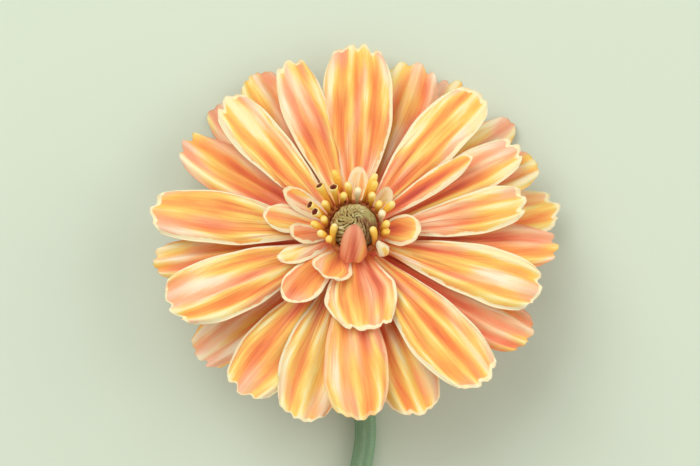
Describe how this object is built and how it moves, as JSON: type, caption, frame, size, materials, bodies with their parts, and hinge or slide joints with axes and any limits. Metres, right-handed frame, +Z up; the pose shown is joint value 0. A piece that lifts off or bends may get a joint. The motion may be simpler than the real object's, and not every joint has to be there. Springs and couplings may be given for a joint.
{
  "type": "marigold flower",
  "caption": "Cut marigold flower lying on its back: layered pleated orange petals, yellow florets round a green dome, leafless stem.",
  "frame": {"origin": "on the surface that the flower lies on, under the middle of its length and width", "axes": "+Z up from the surface, +Y from the cut end of the stem towards the head, +X to the right seen from above"},
  "size_m": [0.082, 0.1332, 0.034],
  "materials": {
    "stem": "soft green stem, satin, faintly ribbed",
    "calyx": "green bracts, matte",
    "back_petals": "salmon orange petals, velvety, pale edges",
    "front_petals": "golden orange petals, velvety, cream edges",
    "inner_petals": "orange petals, velvety, cream edges",
    "florets": "yellow florets, matte",
    "disc": "olive green buds, matte"
  },
  "bodies": {
    "root": {"stem": "stem", "calyx": "calyx", "back_petals": "back_petals", "front_petals": "front_petals", "inner_petals": "inner_petals", "florets": "florets", "disc": "disc"}
  },
  "joints": []
}
